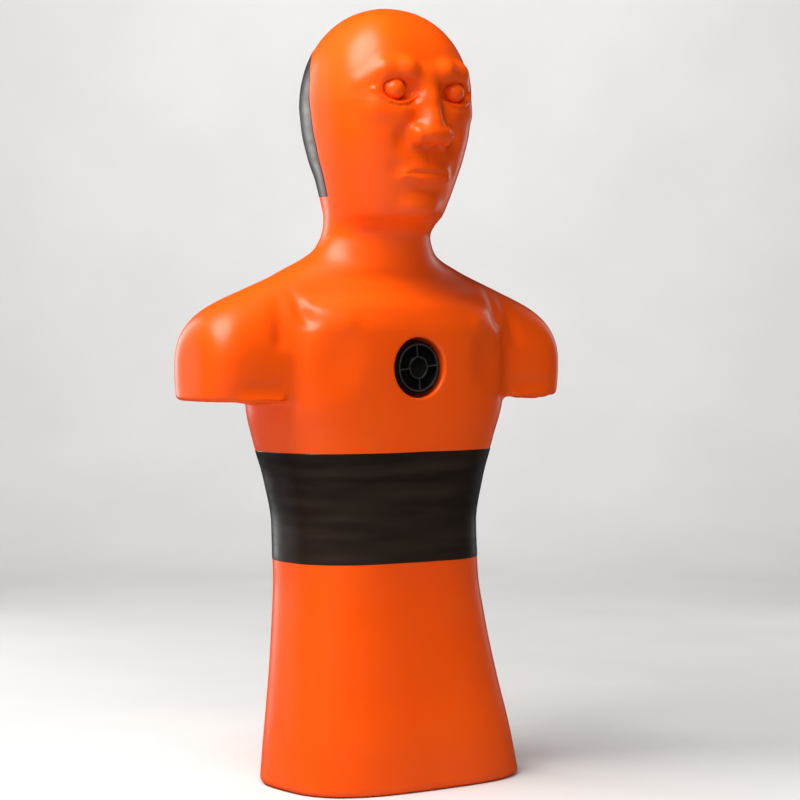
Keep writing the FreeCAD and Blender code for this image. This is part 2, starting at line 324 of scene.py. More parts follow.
def strip_and_pit(part, ax, y, z):
    """The rolled strip along the front of each armpit, and the small pit on the front of each shoulder."""
    fading_out = np.clip((262.0 - ax) / 45.0, 0.0, 1.0)
    strip = line_gap(ax, y, z, [(168.0, -56.0, 493.0), (188.0, -40.0, 494.0), (240.0, -35.0, 495.0)])
    part = swell(part, strip, 5.0 * fading_out, 8.0)
    above_strip = line_gap(ax, y, z, [(170.0, -56.0, 512.0), (188.0, -41.0, 513.0), (244.0, -37.0, 513.0)])
    part = swell(part, above_strip, -1.6 * fading_out, 7.0)
    pit = capsule(ax, y, z, (PIT_X - 2.0, -34.0, PIT_Z - 1.0), (PIT_X + 3.0, -33.0, PIT_Z + 1.0), 0.0)
    return swell(part, pit, -3.2, 4.5)


def eye_sockets(face, ax, y, z):
    """Deep soft sockets under smooth brows, deepest at the inner corners."""
    socket = ellipsoid(ax, y, z, (EYE_X - 1.0, -108.0, EYE_Z - 2.0), (34.0, 25.0, 22.0))
    face = carve(face, socket, 9.0)
    brow_line = [(0.0, -87.0, EYE_Z + 15.0), (30.0, -89.5, EYE_Z + 26.0), (58.0, -81.0, EYE_Z + 25.0),
                 (80.0, -58.0, EYE_Z + 8.0)]
    brow = rod_chain(ax, y, z, brow_line, [9.5, 9.0, 8.0, 6.0], 14.0)
    face = union(face, brow, 12.0)
    inner_corner = ellipsoid(ax, y, z, (EYE_X - 23.0, -106.0, EYE_Z - 4.0), (8.0, 15.0, 9.0))
    face = carve(face, inner_corner, 10.0)
    cheekbone = capsule(ax, y, z, (40.0, -84.0, EYE_Z - 30.0), (66.0, -74.0, EYE_Z - 26.0), 9.0)
    return union(face, cheekbone, 16.0)


def eye_grooves(face, ax, y, z):
    """The narrow groove round each eyeball, and the thin wide lower lid."""
    groove = ellipsoid(ax, y, z, (EYE_X, -85.0, EYE_Z + 0.5), (16.8, 6.5, 15.8))
    face = carve(face, groove, 3.0)
    lid = [(-27.0, -7.0), (-21.0, -12.0), (-11.0, -16.0), (1.0, -17.5), (13.0, -15.0), (22.0, -9.0),
           (29.0, -1.0)]
    lid_gap = curve_gap(ax, z, [(EYE_X + out, EYE_Z + up) for out, up in lid])
    return swell(face, lid_gap, 2.8, 2.6)


def eyeballs(face, ax, y, z):
    """The coarse mesh needs these too, because they stand well out of their sockets."""
    return union(face, ellipsoid(ax, y, z, (EYE_X + 0.5, -84.0, EYE_Z), (13.8, 13.8, 13.4)), 1.5)


def broad_nose(face, ax, y, z):
    """A wide nose: soft bridge, two-lobed tip, rounded wings, flat underside, and the hollows beside it."""
    bridge_line = [(0.0, -86.0, NOSE_Z + 76.0), (0.0, -96.0, NOSE_Z + 44.0), (0.0, -101.0, NOSE_Z + 16.0)]
    bridge = rod_chain(ax, y, z, bridge_line, [9.0, 10.5, 15.0], 8.0)
    face = union(face, bridge, 13.0)
    middle = ellipsoid(ax, y, z, (0.0, -100.0, NOSE_Z + 1.0), (20.0, 20.0, 16.0))
    wing = ellipsoid(ax, y, z, (22.0, -97.0, NOSE_Z - 2.0), (14.0, 17.0, 14.0))
    lobe = ellipsoid(ax, y, z, (10.5, -108.0, NOSE_Z + 1.0), (9.5, 9.5, 9.0))
    nose = union(union(middle, wing, 9.0), lobe, 6.0)
    underside = NOSE_Z - 16.0 - z - 0.20 * (y + 100.0)
    nose = overlap(nose, underside, 5.0)
    face = union(face, nose, 7.0)
    beside_wing = ellipsoid(ax, y, z, (41.0, -104.0, NOSE_Z - 8.0), (10.0, 13.0, 14.0))
    return carve(face, beside_wing, 13.0)


def nostrils(face, ax, y, z):
    nostril = ellipsoid(ax, y, z, (12.0, -104.0, NOSE_Z - 16.5), (7.0, 8.0, 7.5))
    return carve(face, nostril, 2.5)


def muzzle_and_chin(face, ax, y, z):
    muzzle = ellipsoid(ax, y, z, (0.0, -66.0, MOUTH_Z + 6.0), (40.0, 28.5, 28.0))
    face = union(face, muzzle, 16.0)
    under_lip = ellipsoid(ax, y, z, (0.0, -101.0, MOUTH_Z - 24.0), (22.0, 10.0, 6.0))
    mouth_corner = ellipsoid(ax, y, z, (49.0, -95.0, MOUTH_Z + 2.0), (9.0, 8.0, 10.0))
    face = carve(carve(face, under_lip, 12.0), mouth_corner, 12.0)
    chin = ellipsoid(ax, y, z, (0.0, -68.0, MOUTH_Z - 38.0), (25.0, 19.5, 17.0))
    return union(face, chin, 16.0)


def lips(face, ax, y, z):
    """Wide shallow lips, the line between them, and the soft groove above."""
    upper = [(0.0, 7.0), (20.0, 7.0), (35.0, 1.5)]
    lower = [(0.0, -7.5), (18.0, -6.5), (33.0, -2.5)]
    line = [(0.0, 1.5), (20.0, 1.5), (38.0, -1.0)]
    groove = [(0.0, 26.0), (0.0, 17.0)]
    curves = [(upper, 1.2, 6.0), (lower, 3.8, 5.5), (line, -1.2, 2.4), (groove, -1.2, 5.0)]
    for curve, height, width in curves:
        gap = curve_gap(ax, z, [(out, MOUTH_Z + up) for out, up in curve])
        face = swell(face, gap, height, width)
    return face


def face_on(body, ax, y, z, fine):
    """The moulded face, worked out only where it lies."""
    steps = [eye_sockets, eye_grooves, eyeballs, broad_nose, nostrils, muzzle_and_chin, lips]
    if not fine:
        steps = [eye_sockets, eyeballs, broad_nose, muzzle_and_chin]
    near = (y < -40.0) & (z > 700.0) & (z < 960.0)
    for step in steps:
        body = change_near(body, near, ax, y, z, step)
    return body


def plain_body(x, y, z):
    """The body before its face: trunk, head, arm stubs and the folds between them."""
    neck_blend = 14.0
    body = union(trunk(x, y, z), head(x, y, z), neck_blend)
    return shoulders(body, np.abs(x), y, z)


def body_field(x, y, z):
    """The whole body with its fine details."""
    ax = np.abs(x)
    return face_on(arm_details(plain_body(x, y, z), ax, y, z), ax, y, z, fine=True)


def coarse_field(x, y, z):
    """The body without its fine details, smooth enough for a coarse mesh."""
    return face_on(plain_body(x, y, z), np.abs(x), y, z, fine=False)


def gradient(field, points, reach=0.15):
    """The field's slope at each point, by central differences."""
    columns = []
    for axis in range(3):
        step = np.zeros(3)
        step[axis] = reach
        ahead, behind = points + step, points - step
        columns.append((field(*ahead.T) - field(*behind.T)) / (2 * reach))
    return np.stack(columns, axis=1)


def settle(field, points, level=0.0, rounds=6, most=3.0):
    """Move the points along the field's slope until they lie on the level."""
    for _ in range(rounds):
        slope = gradient(field, points)
        excess = field(*points.T) - level
        move = -excess[:, None] * slope / np.maximum((slope ** 2).sum(axis=1), 0.05)[:, None]
        length = np.linalg.norm(move, axis=1, keepdims=True)
        points = points + move * np.minimum(1.0, most / np.maximum(length, 1e-9))
    return points


# ---------------------------------------------------------------- meshing
def surface_net(field, low, high, cell):
    """A quad mesh of the field's zero surface on a regular grid, one vertex in each cell that it crosses."""
    axes = [np.arange(a, b + cell, cell) for a, b in zip(low, high)]
    grid = np.meshgrid(*axes, indexing="ij")
    value = field(*(g.ravel() for g in grid)).reshape(grid[0].shape)
    inside = value < 0
    corners = [(i, j, k) for i in (0, 1) for j in (0, 1) for k in (0, 1)]
    shape = tuple(n - 1 for n in value.shape)

    def corner(array, offset):
        return array[tuple(slice(o, o + n) for o, n in zip(offset, shape))]

    count = sum(corner(inside, c).astype(np.int8) for c in corners)
    crossed = (count > 0) & (count < 8)
    number = np.full(shape, -1, dtype=np.int64)
    number[crossed] = np.arange(crossed.sum())
    total = np.zeros((crossed.sum(), 3))
    hits = np.zeros(crossed.sum())
    for a in corners:
        for axis in range(3):
            if a[axis]:
                continue
            b = tuple(1 if n == axis else v for n, v in enumerate(a))
            va, vb = corner(value, a)[crossed], corner(value, b)[crossed]
            cut = (va < 0) != (vb < 0)
            share = np.where(cut, va / np.where(cut, va - vb, 1.0), 0.0)
            place = np.tile(np.array(a, dtype=float), (len(va), 1))
            place[:, axis] += share
            total += place * cut[:, None]
            hits += cut
    cells = np.argwhere(crossed)
    points = (cells + total / hits[:, None]) * cell + np.array([a[0] for a in axes])

    quads = []
    for axis in range(3):
        u, v = (axis + 1) % 3, (axis + 2) % 3
        first = [slice(1, n) for n in shape]
        first[axis] = slice(0, shape[axis])
        second = list(first)
        second[axis] = slice(1, shape[axis] + 1)
        a, b = inside[tuple(first)], inside[tuple(second)]
        edges = np.argwhere(a != b)
        leaving = a[tuple(edges.T)]
        edges = edges + np.array([0 if n == axis else 1 for n in range(3)])
        ring = []
        for du, dv in ((1, 1), (0, 1), (0, 0), (1, 0)):
            index = edges.copy()
            index[:, u] -= du
            index[:, v] -= dv
            ring.append(number[tuple(index.T)])
        ring = np.stack(ring, axis=1)
        quads.append(np.where(leaving[:, None], ring, ring[:, ::-1]))
    return points, np.concatenate(quads)


def mesh_from(name, points, faces):
    mesh = bpy.data.meshes.new(name)
    mesh.from_pydata((np.asarray(points) * MM).tolist(), [], [list(map(int, f)) for f in faces])
    mesh.validate()
    return mesh


def add_object(name, mesh):
    obj = bpy.data.objects.new(name, mesh)
    bpy.context.scene.collection.objects.link(obj)
    return obj


def vertex_array(mesh):
    flat = np.empty(len(mesh.vertices) * 3)
    mesh.vertices.foreach_get("co", flat)
    return flat.reshape(-1, 3) / MM


def set_vertices(mesh, points):
    mesh.vertices.foreach_set("co", (points * MM).ravel())
    mesh.update()


def refine(mesh, chosen):
    """Split every edge of the faces whose centres are chosen, then let the rest share the new points."""
    bm = bmesh.new()
    bm.from_mesh(mesh)
    centres = np.array([f.calc_center_median() for f in bm.faces]) / MM
    picked = chosen(*centres.T)
    edges = {e for face, take in zip(bm.faces, picked) if take for e in face.edges}
    bmesh.ops.subdivide_edges(bm, edges=list(edges), cuts=1, use_grid_fill=True)
    bm.to_mesh(mesh)
    bm.free()


def face_zone(x, y, z):
    return (y < -55.0) & (z > 735.0) & (z < 935.0) & (np.abs(x) < 88.0)


def fine_face_zone(x, y, z):
    ax = np.abs(x)
    eyes = (np.abs(ax - EYE_X) < 32.0) & (np.abs(z - EYE_Z + 2.0) < 24.0)
    nose = (ax < 38.0) & (z > NOSE_Z - 34.0) & (z < NOSE_Z + 36.0)
    mouth = (ax < 44.0) & (z > MOUTH_Z - 22.0) & (z < MOUTH_Z + 18.0)
    pit = (np.hypot(ax - PIT_X, z - PIT_Z) < 14.0) & (y < 0.0)
    return ((y < -70.0) & (eyes | nose | mouth)) | pit


def finest_zone(x, y, z):
    ax = np.abs(x)
    eyes = (np.abs(ax - EYE_X) < 27.0) & (z > EYE_Z - 21.0) & (z < EYE_Z + 21.0)
    under_nose = (ax < 24.0) & (z > NOSE_Z - 26.0) & (z < NOSE_Z - 8.0)
    return (y < -70.0) & (eyes | under_nose)


def edge_zone(x, y, z):
    ax = np.abs(x)
    under_arm = (ax > 140.0) & (np.abs(z - ARM_UNDERSIDE_Z) < 14.0)
    pit = (np.hypot(ax - PIT_X, z - PIT_Z) < 20.0) & (y < 0.0)
    folds = (ax > 132.0) & (ax < 200.0) & (z > 580.0) & (z < 655.0) & (y < -20.0)
    return under_arm | (z < 14.0) | pit | folds


def is_closed(quads):
    """True when every edge of the quads has exactly two faces."""
    edges = np.concatenate([quads[:, [a, (a + 1) % 4]] for a in range(4)])
    edges = np.sort(edges, axis=1)
    return (np.unique(edges, axis=0, return_counts=True)[1] == 2).all()


def closed_net(field, cells):
    """Points and quads of the field's surface, with no edge shared by more than two faces.

    A grid can meet the surface awkwardly and leave an edge with four faces, so the next cell size is tried.
    """
    for cell in cells:
        points, quads = surface_net(field, (-290.0, -140.0, -12.0), (290.0, 146.0, 1012.0), cell)
        if is_closed(quads):
            break
    return points, quads


def outer_skin():
    """The smooth body's surface, closed and clean, ready to be cut."""
    points, quads = closed_net(coarse_field, ((6.0, 6.2, 5.9, 6.3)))
    return mesh_from("outer_skin", settle(coarse_field, points), quads)


def on_outside(x, y, z):
    """True on the outer surface, apart from the port and its rim."""
    port = (np.hypot(x, z - PORT_Z) < RECESS_RADIUS + RIM_ROUND + 2.0) & (y < 0.0)
    detail = (y < -60.0) & (z > 735.0) & (np.abs(x) < 88.0)
    reach = np.where(detail, -4.0, -1.5)
    return (coarse_field(x, y, z) > reach) & ~port


def add_fine_detail(mesh):
    """Refine the outer surface where it needs it, and pull it onto the detailed body."""
    zones = [lambda x, y, z: face_zone(x, y, z) | edge_zone(x, y, z), fine_face_zone, finest_zone]
    for number, zone in enumerate(zones):
        refine(mesh, lambda x, y, z: zone(x, y, z) & on_outside(x, y, z))
        points = vertex_array(mesh)
        outside = on_outside(*points.T)
        if number == 0:
            points[outside] = settle(coarse_field, points[outside])
        else:
            points[outside] = settle(body_field, points[outside], rounds=12, most=2.0)
        set_vertices(mesh, points)


def cavity_field(x, y, z):
    """The water chamber, a wall's thickness inside the body. The nose, eyes' backs and boss are solid."""
    inside = np.maximum(plain_body(x, y, z), coarse_field(x, y, z)) + WALL
    behind_eye = ellipsoid(np.abs(x), y, z, (EYE_X, -86.0, EYE_Z), (30.0, 20.0, 27.0))
    across = np.hypot(x, z - PORT_Z)
    boss = np.maximum(across - BOSS_RADIUS, y - (CHEST_Y + BOSS_DEPTH))
    return carve(carve(inside, behind_eye, 3.0), boss, 2.0)


def cavity_skin():
    points, quads = closed_net(cavity_field, (8.0, 8.2, 7.9, 8.4))
    return mesh_from("cavity", settle(cavity_field, points, rounds=3), quads)


def thread_height(turn, depth):
    """Height of the coarse right-hand thread, from 0 in its root to 1 on its crest."""
    phase = (depth / THREAD_PITCH + turn / (2 * math.pi)) % 1.0
    flank = 4.0 * np.abs(phase - 0.5) - 0.5
    return np.clip(1.0 - np.clip(flank, 0.0, 1.0), 0.0, 1.0)


def lathe(name, profile, segments, thread=None, follow=None):
    """A solid turned about the port's axis.

    The profile is a closed loop of (radius, depth) points, or runs from axis to axis. With thread, which
    is (first depth, last depth, radius, height, shift along the axis), points there follow the screw
    thread. With follow, a function of the angle and depth, each point moves that much deeper.
    """
    angles = np.linspace(0.0, 2 * math.pi, segments, endpoint=False)
    rows = []
    for radius, depth in profile:
        radii = np.full(segments, float(radius))
        if thread and thread[0] <= depth <= thread[1] and abs(radius - thread[2]) < 0.1:
            radii = radii + thread[3] * thread_height(angles, depth + thread[4])
        depths = np.full(segments, float(depth))
        if follow:
            depths = depths + follow(angles, depth)
        across, up = radii * np.cos(angles), radii * np.sin(angles)
        rows.append(np.stack([across, CHEST_Y + depths, PORT_Z + up], axis=1))
    points = np.concatenate(rows)
    count = len(profile)
    links = count if profile[0][0] > 0 else count - 1
    faces = []
    for i in range(links):
        a, b = i * segments, (i + 1) % count * segments
        for j in range(segments):
            k = (j + 1) % segments
            faces.append((a + j, a + k, b + k, b + j))
    mesh = mesh_from(name, points, faces)
    bm = bmesh.new()
    bm.from_mesh(mesh)
    bmesh.ops.remove_doubles(bm, verts=bm.verts, dist=0.001 * MM)
    bmesh.ops.recalc_face_normals(bm, faces=bm.faces)
    bm.to_mesh(mesh)
    bm.free()
    return mesh


def rounded(corners, steps=4):
    """A profile whose corners (radius, depth, rounding) are replaced by short arcs."""
    result = []
    count = len(corners)
    for i, (radius, depth, rounding) in enumerate(corners):
        here = np.array([radius, depth], dtype=float)
        if rounding == 0 or (radius == 0 and i in (0, count - 1)):
            result.append(tuple(here))
            continue
        before = np.array(corners[i - 1][:2], dtype=float) - here
        after = np.array(corners[(i + 1) % count][:2], dtype=float) - here
        start = here + before / np.linalg.norm(before) * rounding
        end = here + after / np.linalg.norm(after) * rounding
        for t in np.linspace(0.0, 1.0, steps + 1):
            result.append(tuple((1 - t) ** 2 * start + 2 * t * (1 - t) * here + t ** 2 * end))
    return result


def boolean(obj, tool, operation):
    """Apply one exact boolean and throw the tool away."""
    modifier = obj.modifiers.new("cut", "BOOLEAN")
    modifier.object = tool
    modifier.operation = operation
    modifier.solver = "EXACT"
    done = bpy.data.meshes.new_from_object(obj.evaluated_get(bpy.context.evaluated_depsgraph_get()))
    obj.modifiers.clear()
    done.name = obj.data.name
    obj.data = done
    bpy.data.objects.remove(tool)


# ---------------------------------------------------------------- the shell
def port_tool():
    """Everything that the port takes out of the moulding, from outside the chest to the water chamber."""
    outer_radius = RECESS_RADIUS + RIM_ROUND
    angles = np.linspace(0.0, 2 * math.pi, RIM_SAMPLES)
    across, up = outer_radius * np.cos(angles), outer_radius * np.sin(angles)
    ring = np.stack([across, np.full_like(angles, CHEST_Y), PORT_Z + up], axis=1)
    chest = settle(body_field, ring)[:, 1] - CHEST_Y

    def follow(turn, depth):
        """The chest's own depth round the rim, fading out down the recess."""
        share = np.clip(1.0 - depth / (2 * RIM_ROUND), 0.0, 1.0)
        return share * np.interp(turn, angles, chest)

    rim = [(RECESS_RADIUS + RIM_ROUND * (1 - math.sin(t)), RIM_ROUND * (1 - math.cos(t)))
           for t in np.linspace(0.0, math.pi / 2, 9)]
    clear_radius = outer_radius + 0.6
    profile = [(0.0, -CUT_PAST), (clear_radius, -CUT_PAST), (clear_radius, -0.05)] + rim + [
        (RECESS_RADIUS, 2 * RIM_ROUND), (RECESS_RADIUS, SEAT_DEPTH), (BUSH_RADIUS, SEAT_DEPTH),
        (BUSH_RADIUS, SEAT_DEPTH + BUSH_LENGTH), (BORE_RADIUS, SEAT_DEPTH + BUSH_LENGTH),
        (BORE_RADIUS, BOSS_DEPTH + CUT_PAST), (0.0, BOSS_DEPTH + CUT_PAST)]
    return add_object("port_tool", lathe("port_tool", profile, 128, follow=follow))


def shade_from_field(mesh, field, reach=0.06):
    """Smooth normals: the field's own on the outer surface, and by angle everywhere else."""
    points = vertex_array(mesh)
    on_surface = np.abs(field(*points.T)) < reach
    slope = gradient(field, points)
    slope /= np.maximum(np.linalg.norm(slope, axis=1, keepdims=True), 1e-9)
    mesh.polygons.foreach_set("use_smooth", np.ones(len(mesh.polygons), dtype=bool))
    mesh.set_sharp_from_angle(angle=math.radians(40.0))
    own = np.empty(len(mesh.loops) * 3)
    mesh.corner_normals.foreach_get("vector", own)
    own = own.reshape(-1, 3)
    loop_vertex = np.empty(len(mesh.loops), dtype=np.int64)
    mesh.loops.foreach_get("vertex_index", loop_vertex)
    starts = np.empty(len(mesh.polygons), dtype=np.int64)
    counts = np.empty(len(mesh.polygons), dtype=np.int64)
    mesh.polygons.foreach_get("loop_start", starts)
    mesh.polygons.foreach_get("loop_total", counts)
    face_of_loop = np.repeat(np.arange(len(counts)), counts)
    all_on = np.minimum.reduceat(on_surface[loop_vertex].astype(np.int8), starts).astype(bool)
    use = all_on[face_of_loop]
    own[use] = slope[loop_vertex][use]
    mesh.normals_split_custom_set(own.tolist())


def body_shell():
    """The moulding: its outer skin, less the water chamber, less the port."""
    shell = add_object("body_shell_moulding", outer_skin())
    boolean(shell, add_object("cavity", cavity_skin()), "DIFFERENCE")
    boolean(shell, port_tool(), "DIFFERENCE")
    add_fine_detail(shell.data)
    shade_from_field(shell.data, body_field)
    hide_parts("body_shell")
    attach(shell, "manikin")
    return shell


# ---------------------------------------------------------------- the black coating
def film(name, node, grid_points):
    """A closed thin film from a grid of points on the body: proud outside, and just under it inside."""
    rows, columns, _ = grid_points.shape
    wraps = np.allclose(grid_points[:, 0], grid_points[:, -1])
    if wraps:
        grid_points = grid_points[:, :-1]
        columns -= 1
    flat = grid_points.reshape(-1, 3)
    outside = settle(body_field, flat, COATING).reshape(grid_points.shape)
    edge = settle(body_field, flat, 0.0).reshape(grid_points.shape)
    inside = settle(body_field, flat, -COATING_ROOT).reshape(grid_points.shape)
    outside[0], outside[-1] = edge[0], edge[-1]
    if not wraps:
        outside[:, 0], outside[:, -1] = edge[:, 0], edge[:, -1]
    points = np.concatenate([outside.reshape(-1, 3), inside.reshape(-1, 3)])
    half = rows * columns

    def at(i, j, side):
        return side * half + i * columns + j % columns

    faces = []
    last = columns if wraps else columns - 1
    for i in range(rows - 1):
        for j in range(last):
            faces.append((at(i, j, 0), at(i, j + 1, 0), at(i + 1, j + 1, 0), at(i + 1, j, 0)))
            faces.append((at(i, j, 1), at(i + 1, j, 1), at(i + 1, j + 1, 1), at(i, j + 1, 1)))
    for j in range(last):
        faces.append((at(0, j, 0), at(0, j, 1), at(0, j + 1, 1), at(0, j + 1, 0)))
        faces.append((at(rows - 1, j, 0), at(rows - 1, j + 1, 0), at(rows - 1, j + 1, 1), at(rows - 1, j, 1)))
    if not wraps:
        for i in range(rows - 1):
            faces.append((at(i, 0, 0), at(i + 1, 0, 0), at(i + 1, 0, 1), at(i, 0, 1)))
            j = columns - 1
            faces.append((at(i, j, 0), at(i, j, 1), at(i + 1, j, 1), at(i + 1, j, 0)))
    mesh = mesh_from(name, points, faces)
    bm = bmesh.new()
    bm.from_mesh(mesh)
    bmesh.ops.recalc_face_normals(bm, faces=bm.faces)
    bm.to_mesh(mesh)
    bm.free()
    shade_from_field(mesh, lambda x, y, z: body_field(x, y, z) - COATING)
    obj = add_object(name, mesh)
    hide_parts(node)
    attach(obj, "manikin")
    return obj


def outline_point(table, z, turn):
    """A point on a section's outline, by its angle about the section's middle."""
    half, front, back, middle, front_power, back_power = section(table, z)
    side, ahead = np.cos(turn), np.sin(turn)
    depth = np.where(ahead >= 0, back - middle, middle - front)
    power = np.where(ahead >= 0, back_power, front_power)
    radius = ((np.abs(side) / half) ** power + (np.abs(ahead) / depth) ** power + 1e-12) ** (-1 / power)
    return radius * side, middle + radius * ahead


def hand_wobble(turn, seed):
    """A small unevenness of a hand-masked edge, in millimetres."""
    rng = np.random.default_rng(seed)
    total = np.zeros_like(turn)
    for waves in (2, 3, 5, 9, 14):
        total += rng.uniform(0.3, 1.0) / waves ** 0.7 * np.sin(waves * turn + rng.uniform(0, 2 * math.pi))
    return total


def waist_band():
    turn = np.linspace(0.0, 2 * math.pi, 361)
    low = BAND_BOTTOM_Z + 0.7 * hand_wobble(turn, 5)
    high = BAND_TOP_Z + 0.5 * hand_wobble(turn, 8)
    share = np.linspace(0.0, 1.0, 40)
    share[1], share[-2] = 0.004, 0.996
    z = low[None, :] + (high - low)[None, :] * share[:, None]
    turns = np.tile(turn, (len(share), 1))
    x, y = outline_point(TRUNK, z, turns)
    return film("waist_band_film", "waist_band_coating", np.stack([x, y, z], axis=2))


def patch_front_y(z):
    """Side view of the head patch's front edge: how far forward it comes at each height."""
    levels = [PATCH_BOTTOM_Z, 789.0, 821.0, 872.0, 905.0, 920.0, 932.0, 943.0, PATCH_TOP_Z]
    front = [17.0, 17.0, 20.0, 27.0, 32.0, 38.0, 46.0, 58.0, 84.0]
    return np.interp(z, levels, front)


def head_patch():
    share = np.linspace(0.0, 1.0, 70)
    share[1], share[-2] = 0.004, 0.997
    columns = np.linspace(0.0, 1.0, 121)
    columns[1], columns[-2] = 0.003, 0.997
    z = PATCH_BOTTOM_Z + (PATCH_TOP_Z - PATCH_BOTTOM_Z) * share
    front = patch_front_y(z) + 0.5 * hand_wobble(z / 60.0, 3)
    half, _, back, middle, _, power = section(HEAD, z)
    up = np.maximum(0.0, z - DOME_FROM_Z) / (HEIGHT - DOME_FROM_Z)
    scale = (1.0 - up ** DOME_POWER) ** (1 / DOME_POWER)
    half, depth = half * scale, (back - middle) * scale
    ahead = np.clip((front - middle) / depth, 0.0, 0.98)
    side = half * (1.0 - ahead ** power) ** (1 / power)
    start = np.arctan2(front - middle, side)
    turn = start[:, None] + (math.pi - 2 * start)[:, None] * columns[None, :]
    cos, sin = np.cos(turn), np.sin(turn)
    radius = ((np.abs(cos) / half[:, None]) ** power[:, None]
              + (np.abs(sin) / depth[:, None]) ** power[:, None]) ** (-1 / power[:, None])
    low_wobble = 0.6 * hand_wobble(turn, 4) * (1 - share)[:, None]
    points = np.stack([radius * cos, middle[:, None] + radius * sin, z[:, None] + low_wobble], axis=2)
    return film("head_back_film", "head_back_coating", points)


# ---------------------------------------------------------------- the port's bush and plug
def threaded_rows(radius, first, last, step=0.35):
    count = int(abs(last - first) / step)
    return [(radius, depth) for depth in np.linspace(first, last, count)]


def port_bush():
    """The threaded bush. Its thread stands inwards, half a pitch from the plug's, so that the two mesh."""
    root = BORE_RADIUS + 0.02
    first, last = SEAT_DEPTH + 1.5, SEAT_DEPTH + BUSH_LENGTH - 1.5
    outline = rounded([(BUSH_RADIUS - 0.05, SEAT_DEPTH + BUSH_LENGTH - 0.05, 0.4),
                       (BUSH_RADIUS - 0.05, SEAT_DEPTH, 0.5), (root, SEAT_DEPTH, 0.4)])
    rows = threaded_rows(root, first, last)
    profile = outline + rows + [(root, SEAT_DEPTH + BUSH_LENGTH - 0.05)]
    thread = (first, last, root, -THREAD_HEIGHT, THREAD_PITCH / 2)
    obj = add_object("threaded_bush", lathe("threaded_bush", profile, 144, thread))
    shade_by_angle(obj.data, 35.0)
    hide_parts("chest_port_bush")
    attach(obj, "manikin")
    return obj


def shade_by_angle(mesh, degrees):
    mesh.polygons.foreach_set("use_smooth", np.ones(len(mesh.polygons), dtype=bool))
    mesh.set_sharp_from_angle(angle=math.radians(degrees))


def plug_body_profile():
    """The plug's turned outline, with the stretch of it that carries the thread."""
    face = PLUG_FACE_DEPTH
    floor = face + PLUG_HEAD - PLUG_FLOOR
    under = face + PLUG_HEAD
    end = under + STEM_LENGTH
    root = STEM_RADIUS - THREAD_HEIGHT - 0.1
    pocket = PLUG_RADIUS - PLUG_RIM - 1.6
    dish = PLUG_HUB_RADIUS - 1.5
    groove_floor = under - SEAL_GROOVE_DEPTH
    groove_out = RING_RADIUS + SEAL_GROOVE_HALF_WIDTH
    groove_in = RING_RADIUS - SEAL_GROOVE_HALF_WIDTH
    front = rounded([
        (0.0, face + 3.4, 0), (5.0, face + 3.2, 1.5), (dish, face + 2.4, 0.5), (dish, face, 0.4),
        (PLUG_HUB_RADIUS, face, 0.5), (PLUG_HUB_RADIUS, floor, 0.8),
        (pocket, floor, 0.8), (pocket, face, 0.5),
        (pocket + 1.8, face, 0.5), (pocket + 2.2, face + 1.5, 0.3), (PLUG_RADIUS - 0.8, face + 1.9, 0.8),
        (PLUG_RADIUS, face + 4.0, 0.8), (PLUG_RADIUS, under, 0.6), (groove_out, under, 0.2),
        (groove_out, groove_floor, 0.2), (groove_in, groove_floor, 0.2),
        (groove_in, under, 0.2), (root, under, 0.5)])
    rows = threaded_rows(root, under + 1.5, end - 1.0)
    inner = STEM_RADIUS - STEM_WALL
    back = rounded([(root, end, 0.6), (inner, end, 0.5), (inner, under, 0.5), (0.0, under, 0)])
    return front + rows + back[1:], (under + 1.5, end - 1.0, root, THREAD_HEIGHT, 0.0)


def plug_rib(number):
    """One thin rib, from the hub to the rim, with softened top edges."""
    bm = bmesh.new()
    bmesh.ops.create_cube(bm, size=1.0)
    length = PLUG_RADIUS - PLUG_RIM - PLUG_HUB_RADIUS - 0.4
    depth = PLUG_HEAD - PLUG_FLOOR
    bmesh.ops.scale(bm, vec=(length * MM, depth * MM, PLUG_RIB * MM), verts=bm.verts)
    long_edges = [e for e in bm.edges if abs((e.verts[0].co - e.verts[1].co).x) > 0.5 * length * MM]
    bmesh.ops.bevel(bm, geom=long_edges, offset=0.35 * MM, segments=3, affect="EDGES")
    middle = PLUG_HUB_RADIUS - 0.5 + length / 2
    middle_y = CHEST_Y + PLUG_FACE_DEPTH + 0.3 + depth / 2
    bmesh.ops.translate(bm, vec=(middle * MM, middle_y * MM, 0.0), verts=bm.verts)
    turn = math.radians(PLUG_RIB_TILT + 90.0 * number)
    matrix = Matrix.Translation((0, 0, PORT_Z * MM)) @ Matrix.Rotation(-turn, 4, "Y")
    bmesh.ops.transform(bm, matrix=matrix, verts=bm.verts)
    mesh = bpy.data.meshes.new("plug_rib")
    bm.to_mesh(mesh)
    bm.free()
    return add_object("plug_rib", mesh)


def chest_plug():
    profile, thread = plug_body_profile()
    obj = add_object("ribbed_plug", lathe("ribbed_plug", profile, 144, thread))
    for number in range(4):
        boolean(obj, plug_rib(number), "UNION")
    shade_by_angle(obj.data, 35.0)
    obj.data.materials.append(black_plastic("plug_plastic", 0.0035, 0.42))
    # The second, lighter grey is a painted highlight on the raised tops of the ribs, rings, hub and rim.
    obj.data.materials.append(black_plastic("plug_painted_highlight", 0.026, 0.42))
    # Forward-facing faces that stand proud of the face get the lighter grey: painted highlight, not wear.
    proud = (CHEST_Y + PLUG_FACE_DEPTH + 1.0) * MM
    for polygon in obj.data.polygons:
        polygon.material_index = int(polygon.center.y < proud and polygon.normal.y < -0.5)
    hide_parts("chest_plug")
    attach(obj, "plug")
    return obj


